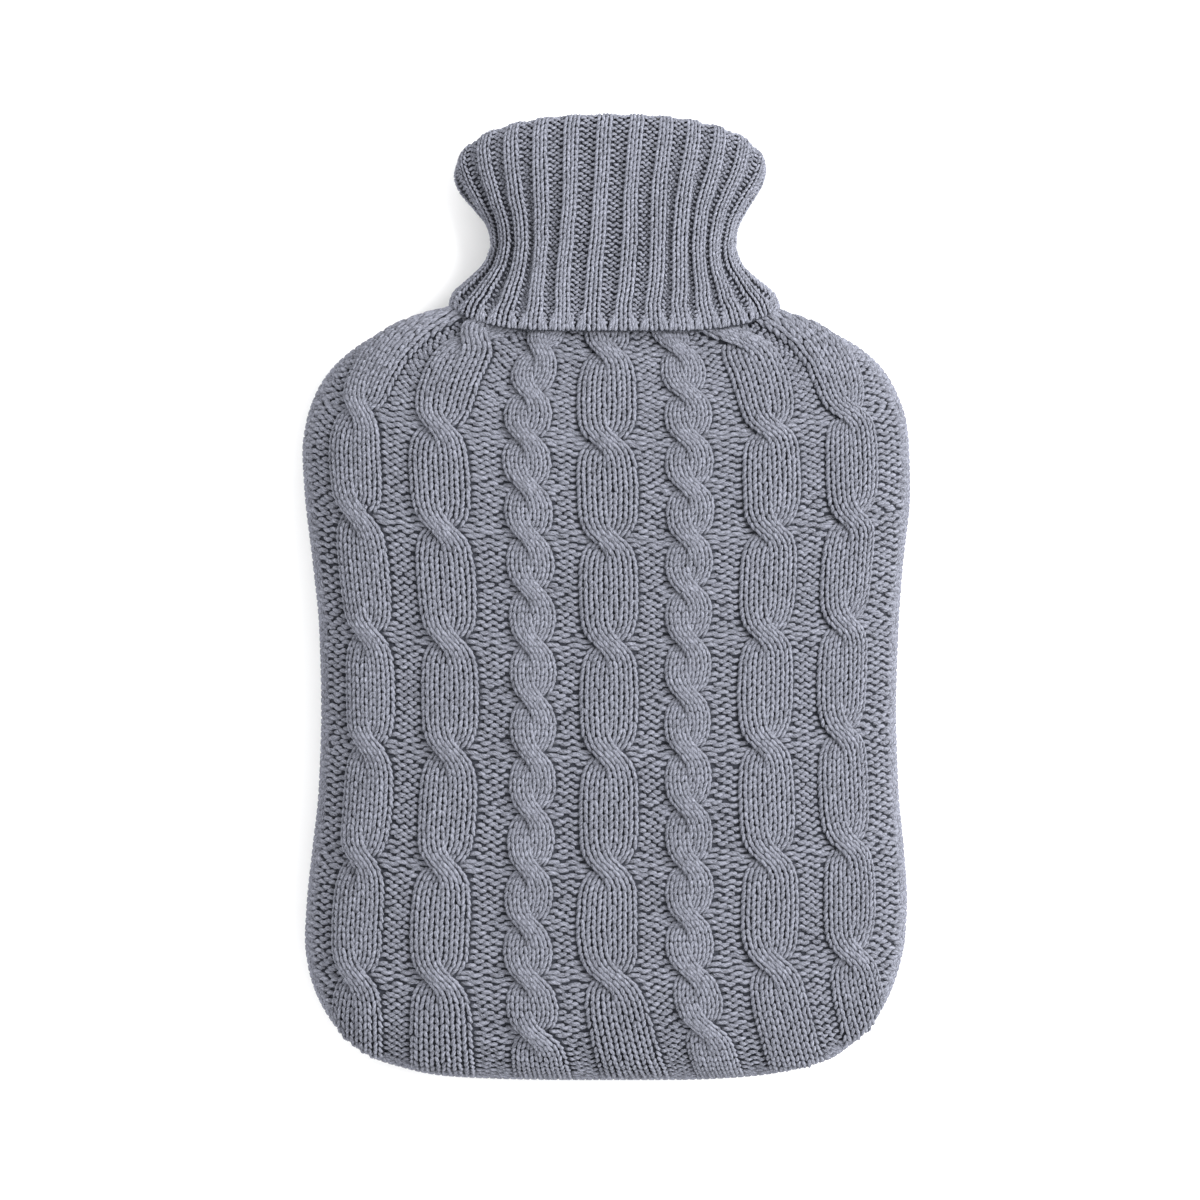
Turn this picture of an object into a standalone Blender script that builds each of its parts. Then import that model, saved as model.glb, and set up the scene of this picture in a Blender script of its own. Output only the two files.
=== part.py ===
"""A knitted hot water bottle cover: a cable-knit front, a plain back and a ribbed roll collar.

The cover lies on its back with the shape that a filled bottle gives it. +X is to the right and +Y
towards the collar, seen from above, and the back rests on z = 0. Sizes in the tables are in
millimetres, and the finished meshes are in metres.
"""

import math

import bmesh
import bpy
import numpy as np

MM = 0.001

YARN = (0.36, 0.375, 0.44)  # a cool blue-grey
YARN_ROUGHNESS = 0.9

# Driving sizes, in millimetres.
SEAM_Z = 18.0  # height of the seam between front and back
SEAM_GAP = 0.3  # between two pieces that are sewn together
BOTTOM_Y = -171.3  # the lowest edge of the cover
NECK_Y = 106.0  # where the panels end and the collar begins
END_ROUND = 45.0  # length over which the crown runs down to the bottom edge
BACK_END_ROUND = 30.0  # the same for the back
FLATTENED = 0.22  # how much of the back's curve is pressed flat by what it rests on
WALL = 2.8  # thickness of the plain knit
POCKET_POINTS = 20  # on each side of the pocket
COLLAR_WALL = 2.6
RIB_HEIGHT = 1.1
RIB_REPEATS = 24  # ribs round the collar
RIB_SHARES = (-0.27, 0.27, 0.39, 0.61)  # two points on each rib and two in the dip beside it
RIB_RAISED = (1.0, 1.0, 0.0, 0.0)
CABLE_HEIGHT = 2.7
CROSSING_HEIGHT = 2.3

# The outline of the body, seen from above: one row for each section.
# Columns: y, left edge, right edge.
OUTLINE = (
    (-171.3, -22.0, 30.0),
    (-170.8, -42.0, 41.0),
    (-169.6, -60.4, 55.5),
    (-166.8, -73.2, 70.0),
    (-164.0, -82.0, 79.0),
    (-160.4, -88.1, 84.6),
    (-153.3, -95.7, 92.7),
    (-146.2, -100.5, 97.5),
    (-139.1, -103.8, 100.9),
    (-132.0, -105.8, 103.3),
    (-122.0, -107.0, 105.4),
    (-108.0, -106.3, 106.2),
    (-90.0, -104.4, 105.1),
    (-68.0, -102.1, 103.1),
    (-40.0, -101.2, 102.3),
    (-12.0, -101.9, 103.1),
    (10.0, -104.0, 104.6),
    (38.0, -107.2, 107.3),
    (52.0, -107.9, 107.0),
    (62.0, -106.6, 106.0),
    (73.0, -102.8, 102.3),
    (81.0, -97.4, 97.4),
    (87.7, -90.0, 90.2),
    (92.7, -82.0, 81.8),
    (96.0, -75.0, 75.0),
    (98.6, -66.5, 66.8),
    (100.8, -57.0, 59.6),
    (102.6, -48.5, 51.5),
    (104.0, -44.0, 47.2),
    (106.0, -42.0, 45.4),
)

# The crown of the front, the depth of the back and the roundness of the section.
# Columns: y, top z, underside z, exponent of the oval.
DEPTH = (
    (-171.3, 46.0, 0.0, 2.5),
    (30.0, 46.0, 0.0, 2.5),
    (58.0, 44.6, 0.0, 2.5),
    (78.0, 41.6, 2.2, 2.45),
    (91.0, 38.9, 5.3, 2.4),
    (99.0, 37.2, 6.0, 2.4),
    (106.0, 36.5, 6.2, 2.4),
)

# The course lines of the knitting on the front, which sag in the middle and lift to the right.
# Columns: course, y at the middle, lift at the edges, tilt to the right.
COURSES = (
    (-12, 110.0, 16.0, 0.0),
    (0, 86.3, 16.0, 0.0),
    (16, 54.8, 16.0, -0.5),
    (32, 20.0, 13.0, -0.8),
    (48, -16.8, 8.5, 2.0),
    (64, -55.5, 8.0, 2.6),
    (80, -95.5, 8.2, 3.0),
    (96, -133.8, 6.0, 4.5),
    (112, -172.5, 5.0, 5.0),
)

# The cables, as shares of the half width. Columns: centre, half width, courses from one
# crossing to the next.
CABLES = (
    (-0.825, 0.088, 16),
    (-0.550, 0.104, 16),
    (-0.262, 0.083, 8),
    (0.000, 0.106, 16),
    (0.272, 0.083, 8),
    (0.540, 0.100, 16),
    (0.805, 0.090, 16),
)
PINCH = 0.36  # how much narrower a cable is at a crossing
SINK = 0.45  # how much lower its under strand lies there
NEAR_CROSSING = 2.7  # courses over which the strands change sides
LEAN_START_Y = -107.0  # below this the middle cables lean to the right
LEAN = 11.0

# The outer fall of the collar, from its hem to its fold.
# Columns: share of the way up, middle x, half width, top z, underside z, exponent.
FALL = (
    (0.00, 2.6, 59.0, 45.9, 1.3, 3.2),
    (0.09, 2.2, 55.8, 44.9, 1.3, 3.0),
    (0.18, 2.0, 50.4, 43.4, 1.3, 2.7),
    (0.31, 2.0, 44.8, 41.4, 1.6, 2.5),
    (0.44, 2.1, 42.9, 40.1, 2.0, 2.4),
    (0.55, 1.8, 43.8, 39.8, 2.0, 2.4),
    (0.70, 1.2, 47.9, 39.9, 1.7, 2.5),
    (0.88, 0.9, 53.8, 40.2, 1.3, 2.6),
    (1.00, 1.4, 55.6, 40.2, 1.2, 2.6),
)

# The neck layer inside it, from the panels to the same fold. Same columns.
NECK_LAYER = (
    (0.00, 1.7, 43.7, 36.5, 6.2, 2.4),
    (0.20, 2.0, 40.0, 36.3, 6.2, 2.4),
    (0.45, 2.0, 39.3, 36.1, 6.2, 2.4),
    (0.72, 1.2, 44.2, 36.2, 5.6, 2.5),
    (1.00, 1.4, 52.0, 36.6, 4.8, 2.6),
)
HEM_MIDDLE_Y = 93.8
HEM_SIDE_Y = 102.6
HEM_EXPONENT = 4.5
HEM_BACK_LIFT = 5.0  # the hem sits higher where it lies under the cover
FOLD_MIDDLE_Y = 170.8
FOLD_SIDE_Y = 152.8
FOLD_EXPONENT = 2.3
SLIT = 1.0  # the space between the fall and the neck layer


def read(table, y):
    """The columns after the first one at y, on smooth curves through the rows of a table."""
    rows = np.asarray(table, float)
    keys, values = rows[:, 0], rows[:, 1:]
    steps = np.diff(keys)
    slopes = np.diff(values, axis=0) / steps[:, None]
    tangents = np.zeros_like(values)
    same_way = slopes[:-1] * slopes[1:] > 0
    mean = 2 * slopes[:-1] * slopes[1:] / np.where(same_way, slopes[:-1] + slopes[1:], 1)
    tangents[1:-1] = np.where(same_way, mean, 0)
    tangents[0], tangents[-1] = slopes[0], slopes[-1]
    y = min(max(y, keys[0]), keys[-1])
    i = min(max(int(np.searchsorted(keys, y)) - 1, 0), len(steps) - 1)
    t = (y - keys[i]) / steps[i]
    return (
        (2 * t**3 - 3 * t**2 + 1) * values[i]
        + (t**3 - 2 * t**2 + t) * steps[i] * tangents[i]
        + (3 * t**2 - 2 * t**3) * values[i + 1]
        + (t**3 - t**2) * steps[i] * tangents[i + 1]
    )


def smooth_step(low, high, value):
    t = min(max((value - low) / (high - low), 0.0), 1.0)
    return t * t * (3 - 2 * t)


def end_share(y, length=END_ROUND):
    """1 along the body and 0 at the bottom edge, on a round curve."""
    t = min(max((BOTTOM_Y + length - y) / length, 0.0), 1.0)
    return (1 - t**2.4) ** (1 / 2.2)


def side_share(s, exponent):
    """1 at the middle of a section and 0 at its side."""
    return (1 - min(abs(s), 1.0) ** exponent) ** (1 / exponent)


# --- the knitting on the front -----------------------------------------------------------


def wale_frame(y):
    """The middle and half width that the knitting follows. It doesn't narrow at the bottom."""
    left, right = read(OUTLINE, max(y, -120.0))
    return (left + right) / 2, (right - left) / 2


def wale_lean(w, y):
    below = max(LEAN_START_Y - y, 0.0) / 60.0
    return LEAN * smooth_step(-0.65, 0.15, w) * below**2


def wale_place(x, y):
    """Where a point lies across the knitting: -1 and 1 are the side edges."""
    middle, half = wale_frame(y)
    w = (x - middle) / half
    for _ in range(4):
        w = (x - wale_lean(w, y) - middle) / half
    return w


def course_at(s, y):
    """The number of the course that passes a point of the front, counted down from the neck."""
    levels = np.asarray([(-row[1], row[0], row[2], row[3]) for row in COURSES])
    course = read(levels, -y)[0]
    for _ in range(3):
        lift, tilt = read(COURSES, course)[1:]
        course = read(levels, -(y - lift * s * s - tilt * s))[0]
    return course


def crossing(course, pitch):
    """Courses past the nearest crossing, and how near it is, from 0 to 1."""
    past = course - pitch * round(course / pitch)
    return past, math.exp(-((past / NEAR_CROSSING) ** 2))


def relief(x, y):
    """How far the cables stand above the purl ground."""
    w = wale_place(x, y)
    course = course_at(w, y)
    height = 0.0
    for centre, half, pitch in CABLES:
        past, near = crossing(course, pitch)
        across = (w - centre) / (half * (1 - PINCH * near))
        body = max(0.0, 1 - abs(across) ** 3.5) ** 0.6
        strand = math.exp(-((2.2 * across - 0.6 * past) ** 2)) * body**0.5
        low = CABLE_HEIGHT * body * (1 - SINK * near)
        height = max(height, low + CROSSING_HEIGHT * near * strand)
    return height


# --- helpers for meshes ------------------------------------------------------------------


def material(name, colour, roughness):
    made = bpy.data.materials.new(name)
    made.use_nodes = True
    shader = made.node_tree.nodes["Principled BSDF"]
    shader.inputs["Base Color"].default_value = (*colour, 1.0)
    shader.inputs["Roughness"].default_value = roughness
    shader.inputs["Metallic"].default_value = 0.0
    return made


def new_object(name, bm, collection, finish=None):
    bmesh.ops.recalc_face_normals(bm, faces=bm.faces)
    bmesh.ops.scale(bm, vec=(MM, MM, MM), verts=bm.verts)
    mesh = bpy.data.meshes.new(name)
    bm.to_mesh(mesh)
    bm.free()
    made = bpy.data.objects.new(name, mesh)
    collection.objects.link(made)
    if finish:
        mesh.materials.append(finish)
        mesh.shade_smooth()
        mesh.set_sharp_from_angle(angle=math.radians(60))
    return made


def add_ring(bm, points):
    """A closed loop of edges through the points."""
    corners = [bm.verts.new(point) for point in points]
    return [bm.edges.new((a, b)) for a, b in zip(corners, corners[1:] + corners[:1])]


def loft(rings, closed=False):
    """A skin through rings of equal length, capped at its ends, or closed into a loop."""
    bm = bmesh.new()
    loops = [add_ring(bm, ring) for ring in rings]
    pairs = list(zip(loops, loops[1:]))
    if closed:
        pairs.append((loops[-1], loops[0]))
    for one, other in pairs:
        bmesh.ops.bridge_loops(bm, edges=one + other)
    if not closed:
        for loop in (loops[0], loops[-1]):
            bmesh.ops.contextual_create(bm, geom=loop)
    return bm


def cut(target, cutter):
    modifier = target.modifiers.new("cut_" + cutter.name, "BOOLEAN")
    modifier.operation = "DIFFERENCE"
    modifier.solver = "EXACT"
    modifier.object = cutter


# --- the panels --------------------------------------------------------------------------

EDGE_SHARES = (1.0, 0.988, 0.965)
INNER_SHARE, OUTER_SHARE = 0.5, 0.94  # columns crowd together between these, at a corner
FRONT_STEP, BACK_STEP = 4.2, 14.0  # from one section to the next
BACK_COLUMNS = 25
CABLE_SHARES = (-1.12, -0.9, -0.5, 0.0, 0.5, 0.9, 1.12)


def cable_columns(y):
    """Where the front's points lie across: the foot, flank and crown of each cable."""
    left, right = read(OUTLINE, y)
    middle, half_width = wale_frame(y)
    aligned, even = [], []
    for centre, half, pitch in CABLES:
        near = crossing(course_at(centre, y), pitch)[1]
        for share in CABLE_SHARES:
            w = centre + half * share * (1 - PINCH * near)
            x = middle + half_width * w + wale_lean(w, y)
            aligned.append((x - (left + right) / 2) * 2 / (right - left))
            even.append(centre + half * share)
    keep = smooth_step(-168.0, -150.0, y)
    places = [keep * a + (1 - keep) * b for a, b in zip(aligned, even)]
    for side in (-1, 1):
        reach = max(side * place for place in places)
        squeeze = min((OUTER_SHARE - INNER_SHARE) / (reach - INNER_SHARE), 1.0)
        places = [
            side * (INNER_SHARE + (side * place - INNER_SHARE) * squeeze)
            if side * place > INNER_SHARE
            else place
            for place in places
        ]
    return [-share for share in EDGE_SHARES] + places + sorted(EDGE_SHARES)


def plain_columns(_):
    """Where the back's points lie across, closer together towards the sides."""
    return [math.sin(math.pi / 2 * share) for share in np.linspace(-1, 1, BACK_COLUMNS)]


def section_rows(step):
    """The y of each section, close together where the cover turns in."""
    ends = [-171.3, -170.7, -169.3, -167.0, -163.8, -160.0]
    body = list(np.linspace(-156.0, 94.0, round(250.0 / step) + 1))
    return ends + body + [97.5, 100.5, 102.8, 104.4, 106.0]


def dome_point(s, y, inset=0.0):
    """A point on the front's ground, or that far inside it."""
    left, right = read(OUTLINE, y)
    top, _, exponent = read(DEPTH, y)
    half = (right - left) / 2 - inset
    rise = (top - SEAM_Z) * end_share(y) - inset
    return (left + right) / 2 + half * s, max(rise, 0.0) * side_share(s, exponent)


def front_point(s, y):
    x, z = dome_point(s, y)
    if abs(s) > 0.99 or y <= BOTTOM_Y:
        return x, y, z
    step = 0.6
    left, right = read(OUTLINE, y)
    half = (right - left) / 2
    ds = min(step / half, (1 - abs(s)) / 2)
    slope_x = (dome_point(s + ds, y)[1] - dome_point(s - ds, y)[1]) / (2 * ds * half)
    above = dome_point(s, min(y + step, NECK_Y))[1]
    slope_y = (above - dome_point(s, y - step)[1]) / (2 * step)
    slope_y = 0.0 if y >= NECK_Y - 2 else slope_y
    size = math.sqrt(slope_x**2 + slope_y**2 + 1)
    fade = smooth_step(1.0, 0.93, abs(s)) * smooth_step(BOTTOM_Y, BOTTOM_Y + 8, y)
    fade *= 1 - 0.5 * smooth_step(88.0, 94.0, y) - 0.5 * smooth_step(94.0, 102.0, y)
    raised = relief(x, y) * fade
    return x - slope_x / size * raised, y - slope_y / size * raised, z + raised / size


def back_depth(s, y, edge_y, inset=0.0):
    """How far the back lies below the seam. It is flat where it rests."""
    _, underside, exponent = read(DEPTH, y)
    flat = 1 + FLATTENED * smooth_step(NECK_Y, 60.0, y)
    share = side_share(s, exponent) * end_share(edge_y, BACK_END_ROUND) * flat
    return (SEAM_Z - underside - inset) * min(share, 1.0)


def back_point(s, y):
    left, right = read(OUTLINE, y)
    return (left + right) / 2 + (right - left) / 2 * s, y, -back_depth(s, y, y)


def panel_volume(columns, rows, point, base_z):
    """The solid between a panel's face and the seam plane."""
    bm = bmesh.new()
    places = [columns(y) for y in rows]
    across, along = len(places[0]) - 1, len(rows) - 1
    bmesh.ops.create_grid(bm, x_segments=across, y_segments=along, size=1.0)
    for corner in bm.verts:
        i = round((corner.co.x + 1) / 2 * across)
        j = round((corner.co.y + 1) / 2 * along)
        x, y, z = point(places[j][i], rows[j])
        corner.co = (x, y, base_z + z)
    neck = sorted(
        (v for v in bm.verts if v.is_boundary and v.co.y > NECK_Y - 0.01),
        key=lambda v: v.co.x,
    )
    chord = bm.edges.new((neck[0], neck[-1]))
    rim = [e for e in bm.edges if e.is_boundary]
    arch = [e for e in rim if all(v.co.y > NECK_Y - 0.01 for v in e.verts)]
    bmesh.ops.contextual_create(bm, geom=arch + [chord])
    seam = [e for e in rim if e not in arch]
    bmesh.ops.contextual_create(bm, geom=seam + [chord])
    return bm


def oval(places, left, right, top, bottom, exponent):
    """Points at these shares of the way round an oval that is widest at the seam."""
    angles = np.linspace(0, 2 * math.pi, 1441)
    sines, cosines = np.sin(angles), np.cos(angles)
    power = 2 / exponent
    x = (left + right) / 2 + (right - left) / 2 * np.sign(sines) * np.abs(sines) ** power
    depth = np.where(cosines > 0, top - SEAM_Z, SEAM_Z - bottom)
    z = SEAM_Z + depth * np.sign(cosines) * np.abs(cosines) ** power
    run = np.concatenate([[0], np.cumsum(np.hypot(np.diff(x), np.diff(z)))])
    wanted = places % 1.0 * run[-1]
    return np.interp(wanted, run, x), np.interp(wanted, run, z)


def pocket_rows():
    ends = [BOTTOM_Y + WALL, -167.6, -165.5, -162.0, -157.0, -150.0]
    return ends + list(np.linspace(-140.0, 60.0, 9)) + [80.0, 92.0, 99.0, 103.0, NECK_Y, NECK_Y + 6]


def pocket_volume():
    """The hollow inside the panels, where the bottle goes."""
    rings = []
    for row in pocket_rows():
        y = min(row, NECK_Y)
        edge_y = max(y - WALL * smooth_step(-100.0, -150.0, y), BOTTOM_Y)
        left, right = read(OUTLINE, edge_y)
        middle, half = (left + right) / 2, (right - left) / 2 - WALL
        top, _, exponent = read(DEPTH, y)
        rise = max((top - SEAM_Z) * end_share(edge_y) - WALL, 1.0)
        angles = np.linspace(0, math.pi, POCKET_POINTS, endpoint=False)
        front = [(s, rise * side_share(s, exponent)) for s in -np.cos(angles)]
        back = [(s, -max(back_depth(s, y, edge_y, WALL), 1.0 - abs(s))) for s in np.cos(angles)]
        rings.append([(middle + half * s, row, SEAM_Z + z) for s, z in front + back])
    return loft(rings)


# --- the collar --------------------------------------------------------------------------


def rib_places():
    """Where the collar's points lie round it, as shares of the way from the front's middle."""
    return np.array([(k + share) / RIB_REPEATS for k in range(RIB_REPEATS) for share in RIB_SHARES])


def hem_y(x_share, back_share):
    side = (HEM_SIDE_Y - HEM_MIDDLE_Y) * abs(x_share) ** HEM_EXPONENT
    return HEM_MIDDLE_Y + side + HEM_BACK_LIFT * back_share


def neck_y(x_share, back_share):
    return NECK_Y + SEAM_GAP


def fold_y(x_share):
    return FOLD_SIDE_Y + (FOLD_MIDDLE_Y - FOLD_SIDE_Y) * side_share(x_share, FOLD_EXPONENT)


def collar_ring(table, share, inset, low_y, drop=0.0, ribs=0.0):
    """One ring of the collar, at a share of the way from low_y up to the fold."""
    middle, half, top, bottom, exponent = read(table, share)
    places = rib_places()
    edges = (middle - half + inset, middle + half - inset)
    x, z = oval(places, *edges, top - inset, bottom + inset, exponent)
    raised = ribs * np.asarray(RIB_RAISED * RIB_REPEATS)
    ring = []
    for i in range(len(places)):
        x_share = (x[i] - middle) / (half - inset)
        low = low_y(x_share, max(SEAM_Z - z[i], 0.0) / (SEAM_Z - bottom - inset))
        y = low + (fold_y(x_share) - drop - low) * share
        along = np.array([x[i - 1] - x[(i + 1) % len(x)], z[i - 1] - z[(i + 1) % len(z)]])
        along /= max(np.linalg.norm(along), 1e-9)
        ring.append((x[i] - along[1] * raised[i], y, z[i] + along[0] * raised[i]))
    return ring


def collar_solid():
    """The band: up the outer fall, over the fold, down the neck layer and back between them."""
    outer = [
        collar_ring(FALL, share, 0.0, hem_y, ribs=RIB_HEIGHT)
        for share in (0.0, 0.09, 0.2, 0.32, 0.45, 0.6, 0.76, 0.9)
    ]
    fold = [
        collar_ring(FALL, 0.985, 0.25, hem_y, drop=1.2, ribs=RIB_HEIGHT),
        collar_ring(FALL, 1.0, 2.9, hem_y, ribs=0.4),
        collar_ring(NECK_LAYER, 1.0, COLLAR_WALL - 0.5, neck_y, drop=1.8),
    ]
    mouth = [
        collar_ring(NECK_LAYER, share, COLLAR_WALL, neck_y) for share in (0.85, 0.45, 0.0)
    ]
    neck = [collar_ring(NECK_LAYER, share, 0.0, neck_y) for share in (0.0, 0.45, 0.85)]
    slit = [collar_ring(FALL, 0.955, COLLAR_WALL + SLIT / 2, hem_y, drop=0.0)]
    inner = [
        collar_ring(FALL, share, COLLAR_WALL, hem_y) for share in (0.86, 0.5, 0.2, 0.0)
    ]
    return loft(outer + fold + mouth + neck + slit + inner, closed=True)


def centre_on_origin(pieces):
    """Moves the cover so that its box is centred on the origin, with its back on z = 0."""
    points = np.concatenate(
        [np.array([corner.co for corner in piece.data.vertices]) for piece in pieces]
    )
    low, high = points.min(axis=0), points.max(axis=0)
    for piece in pieces:
        for corner in piece.data.vertices:
            corner.co.x -= (low[0] + high[0]) / 2
            corner.co.y -= (low[1] + high[1]) / 2
            corner.co.z -= low[2]


def main():
    for old in list(bpy.data.objects):
        bpy.data.objects.remove(old)
    cover = bpy.data.collections.new("hot_water_bottle_cover")
    tools = bpy.data.collections.new("cutters")
    for collection in (cover, tools):
        bpy.context.scene.collection.children.link(collection)

    pocket = new_object("pocket", pocket_volume(), tools)
    pocket.hide_render = True
    pocket.display_type = "WIRE"

    rows = section_rows(FRONT_STEP)
    volume = panel_volume(cable_columns, rows, front_point, SEAM_Z + SEAM_GAP / 2)
    front = new_object("front_panel", volume, cover, material("cable_knit", YARN, YARN_ROUGHNESS))
    rows = section_rows(BACK_STEP)
    volume = panel_volume(plain_columns, rows, back_point, SEAM_Z - SEAM_GAP / 2)
    back = new_object("back_panel", volume, cover, material("plain_knit", YARN, YARN_ROUGHNESS))
    for panel in (front, back):
        cut(panel, pocket)
    finish = material("rib_knit", YARN, YARN_ROUGHNESS)
    collar = new_object("roll_collar", collar_solid(), cover, finish)
    centre_on_origin([front, back, collar, pocket])


main()
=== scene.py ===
"""A knitted hot water bottle cover, stitch by stitch, on the solids of its model.

Every stitch is a short length of yarn that follows the shape of the cover. Lengths in the tables
and in the functions that work out the stitches are in millimetres, and the meshes are in metres.
"""

import math

import bmesh
import bpy
import numpy as np
from bpy.props import FloatProperty, FloatVectorProperty, PointerProperty
from bpy.types import Operator, Panel, PropertyGroup
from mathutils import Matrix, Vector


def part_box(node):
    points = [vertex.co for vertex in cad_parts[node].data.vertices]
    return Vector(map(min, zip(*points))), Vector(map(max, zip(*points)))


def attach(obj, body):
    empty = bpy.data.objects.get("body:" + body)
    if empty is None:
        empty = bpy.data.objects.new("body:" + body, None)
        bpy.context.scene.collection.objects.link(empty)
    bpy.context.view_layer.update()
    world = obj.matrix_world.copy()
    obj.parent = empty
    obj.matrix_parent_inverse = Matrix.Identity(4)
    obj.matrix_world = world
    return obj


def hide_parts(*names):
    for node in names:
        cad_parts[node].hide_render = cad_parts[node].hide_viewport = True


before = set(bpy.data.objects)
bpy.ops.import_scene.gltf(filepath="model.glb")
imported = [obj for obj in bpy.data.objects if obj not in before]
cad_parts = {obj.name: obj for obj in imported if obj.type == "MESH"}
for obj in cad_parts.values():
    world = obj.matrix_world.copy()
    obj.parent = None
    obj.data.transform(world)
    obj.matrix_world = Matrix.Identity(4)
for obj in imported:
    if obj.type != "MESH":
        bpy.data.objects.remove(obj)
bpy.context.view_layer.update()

bl_info = {
    "name": "Knitted Hot Water Bottle Cover",
    "version": (1, 0, 0),
    "blender": (4, 5, 0),
    "location": "3D View > Sidebar > Cover",
    "description": "Knits the cover's cabled front, plain back and ribbed roll collar",
    "category": "Object",
}

MM = 0.001

# --- the shape of the cover, as its solids have it ---

SEAM_Z = 18.0
HALF_GAP = 0.15  # half the gap between the front's and the back's solid at the seam
BOTTOM_Y = -171.3
NECK_Y = 106.0
HALF_WIDTH = 104.0
END_ROUND = 45.0  # how long the front's rounded bottom end is
BACK_END_ROUND = 30.0
FLATTENED = 0.22  # how much the back's oval is cut off where it rests

# Columns: y, left edge, right edge.
OUTLINE = (
    (-171.3, -22.0, 30.0),
    (-170.8, -42.0, 41.0),
    (-169.6, -60.4, 55.5),
    (-166.8, -73.2, 70.0),
    (-164.0, -82.0, 79.0),
    (-160.4, -88.1, 84.6),
    (-153.3, -95.7, 92.7),
    (-146.2, -100.5, 97.5),
    (-139.1, -103.8, 100.9),
    (-132.0, -105.8, 103.3),
    (-122.0, -107.0, 105.4),
    (-108.0, -106.3, 106.2),
    (-90.0, -104.4, 105.1),
    (-68.0, -102.1, 103.1),
    (-40.0, -101.2, 102.3),
    (-12.0, -101.9, 103.1),
    (10.0, -104.0, 104.6),
    (38.0, -107.2, 107.3),
    (52.0, -107.9, 107.0),
    (62.0, -106.6, 106.0),
    (73.0, -102.8, 102.3),
    (81.0, -97.4, 97.4),
    (87.7, -90.0, 90.2),
    (92.7, -82.0, 81.8),
    (96.0, -75.0, 75.0),
    (98.6, -66.5, 66.8),
    (100.8, -57.0, 59.6),
    (102.6, -48.5, 51.5),
    (104.0, -44.0, 47.2),
    (106.0, -42.0, 45.4),
)
# Columns: y, top z, underside z, exponent of the oval.
DEPTH = (
    (-171.3, 46.0, 0.0, 2.5),
    (30.0, 46.0, 0.0, 2.5),
    (58.0, 44.6, 0.0, 2.5),
    (78.0, 41.6, 2.2, 2.45),
    (91.0, 38.9, 5.3, 2.4),
    (99.0, 37.2, 6.0, 2.4),
    (106.0, 36.5, 6.2, 2.4),
)
# Columns: course, y at the middle, lift at the edges, tilt to the right.
COURSES = (
    (-12, 110.0, 16.0, 0.0),
    (0, 86.3, 16.0, 0.0),
    (16, 54.8, 16.0, -0.5),
    (32, 20.0, 13.0, -0.8),
    (48, -16.8, 8.5, 2.0),
    (64, -55.5, 8.0, 2.6),
    (80, -95.5, 8.2, 3.0),
    (96, -133.8, 6.0, 4.5),
    (112, -172.5, 5.0, 5.0),
    (128, -211.0, 4.0, 5.0),
)
# Columns: centre and half width as shares of the half width, courses between crossings, and
# the course of the first crossing.
CABLES = (
    (-0.825, 0.088, 16, 16),
    (-0.550, 0.104, 16, -16),
    (-0.262, 0.083, 8, -16),
    (0.000, 0.106, 16, -16),
    (0.272, 0.083, 8, -16),
    (0.540, 0.100, 16, -16),
    (0.805, 0.090, 16, 16),
)
ROPE_PITCH = 8  # the courses between the crossings of the two rope cables
CROSSINGS_END = 112  # the course that every cable's last crossing lies above
# How much wider than their share cables stay at the shoulder. Columns: course, times.
SPREAD = (
    (-12, 4.5), (-6, 3.8), (0.3, 2.4), (2.8, 1.81), (6, 1.34), (10, 1.1), (14, 1.0), (130, 1.0),
)
SPREAD_POWERS = (1.0, 0.4, 0.0, 0.0, 0.0, 0.4, 1.0)  # how much of it each cable takes
SINK = 0.45  # how much lower a cable is at a crossing, as a share of its height
NEAR_CROSSING = 2.7  # courses
LEAN_START_Y = -107.0
LEAN = 11.0  # how far the front's lower right leans, 60 mm below where it starts

# The collar. Columns: share of the way up, middle x, half width, top z, underside z, exponent.
FALL = (
    (0.00, 2.6, 59.0, 45.9, 1.3, 3.2),
    (0.09, 2.2, 55.8, 44.9, 1.3, 3.0),
    (0.18, 2.0, 50.4, 43.4, 1.3, 2.7),
    (0.31, 2.0, 44.8, 41.4, 1.6, 2.5),
    (0.44, 2.1, 42.9, 40.1, 2.0, 2.4),
    (0.55, 1.8, 43.8, 39.8, 2.0, 2.4),
    (0.70, 1.2, 47.9, 39.9, 1.7, 2.5),
    (0.88, 0.9, 53.8, 40.2, 1.3, 2.6),
    (1.00, 1.4, 55.6, 40.2, 1.2, 2.6),
)
NECK_LAYER = (
    (0.00, 1.7, 43.7, 36.5, 6.2, 2.4),
    (0.20, 2.0, 40.0, 36.3, 6.2, 2.4),
    (0.45, 2.0, 39.3, 36.1, 6.2, 2.4),
    (0.72, 1.2, 44.2, 36.2, 5.6, 2.5),
    (1.00, 1.4, 52.0, 36.6, 4.8, 2.6),
)
COLLAR_WALL = 2.6
RIB_REPEATS = 24
HEM_MIDDLE_Y, HEM_SIDE_Y, HEM_EXPONENT, HEM_BACK_LIFT = 93.8, 102.6, 4.5, 5.0
FOLD_MIDDLE_Y, FOLD_SIDE_Y, FOLD_EXPONENT = 170.8, 152.8, 2.3

# The solids were centred on the origin after they were made, and this is how far they moved.
PANEL_LOW, PANEL_HIGH = (np.array(corner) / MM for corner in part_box("front_panel"))
SHIFT = np.array(
    [
        (PANEL_LOW[0] + PANEL_HIGH[0] + 107.9 - 107.3) / 2,
        PANEL_LOW[1] - BOTTOM_Y,
        PANEL_LOW[2] - SEAM_Z - HALF_GAP,
    ]
)


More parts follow.
